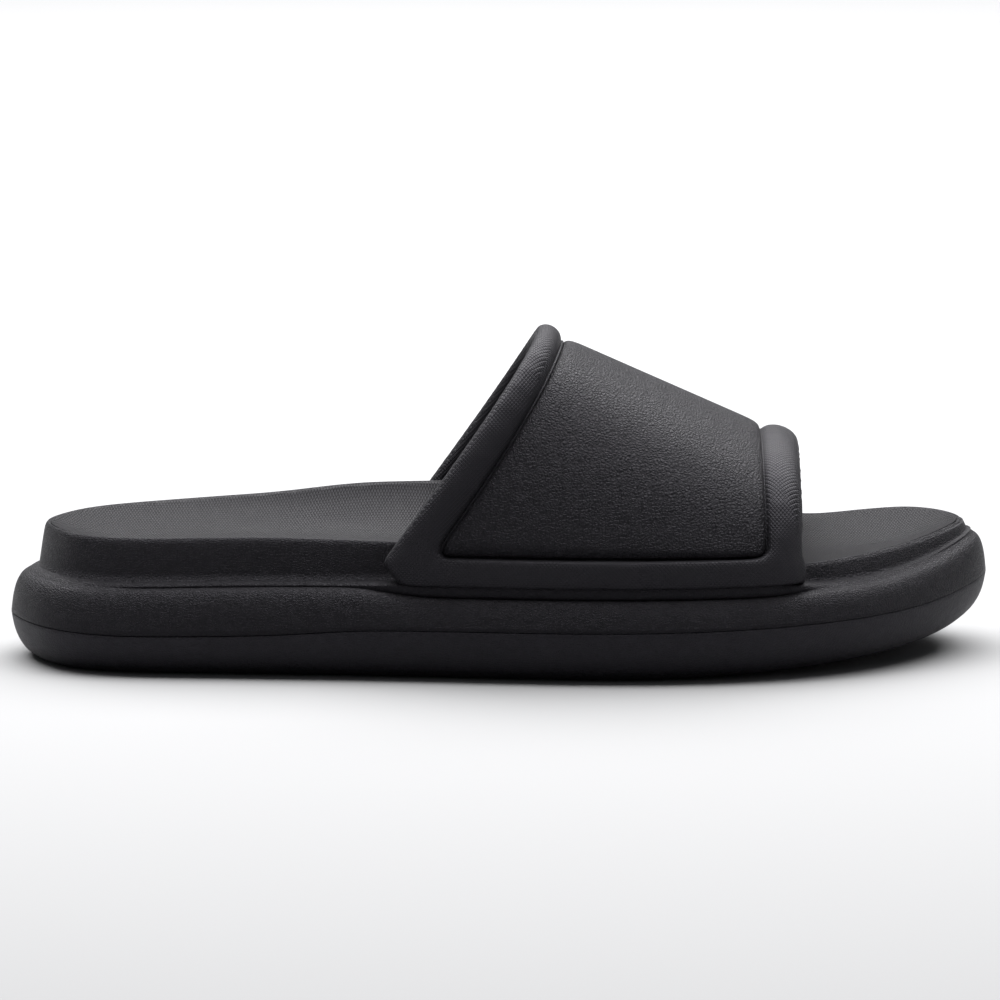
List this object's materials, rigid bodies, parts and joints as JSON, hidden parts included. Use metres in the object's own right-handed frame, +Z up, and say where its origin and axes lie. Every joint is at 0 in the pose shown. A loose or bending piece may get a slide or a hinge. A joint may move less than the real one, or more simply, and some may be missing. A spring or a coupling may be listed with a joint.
{
  "type": "slide sandal",
  "caption": "Right-foot sport slide sandal: a thick bulging sole with a raised tier and dished footbed under a broad arched strap with rolled edges and an inset pad.",
  "frame": {"origin": "on the floor, under the centre of the sandal's bounding box", "axes": "+X toward the toe, +Y toward the inner side of the foot, +Z up"},
  "size_m": [0.285, 0.1031, 0.0967],
  "materials": {
    "outsole_foam": "matt black moulded foam, smooth",
    "midsole_foam": "matt black moulded foam with a fine leather grain",
    "footbed_foam": "matt black moulded foam with fine crossed ribs",
    "strap_foam": "matt black moulded foam with fine crossed ribs",
    "panel_foam": "matt black moulded foam with a leather grain"
  },
  "bodies": {
    "root": {"outsole": "outsole_foam", "midsole": "midsole_foam", "footbed": "footbed_foam", "strap": "strap_foam", "strap_panel": "panel_foam"}
  },
  "joints": []
}
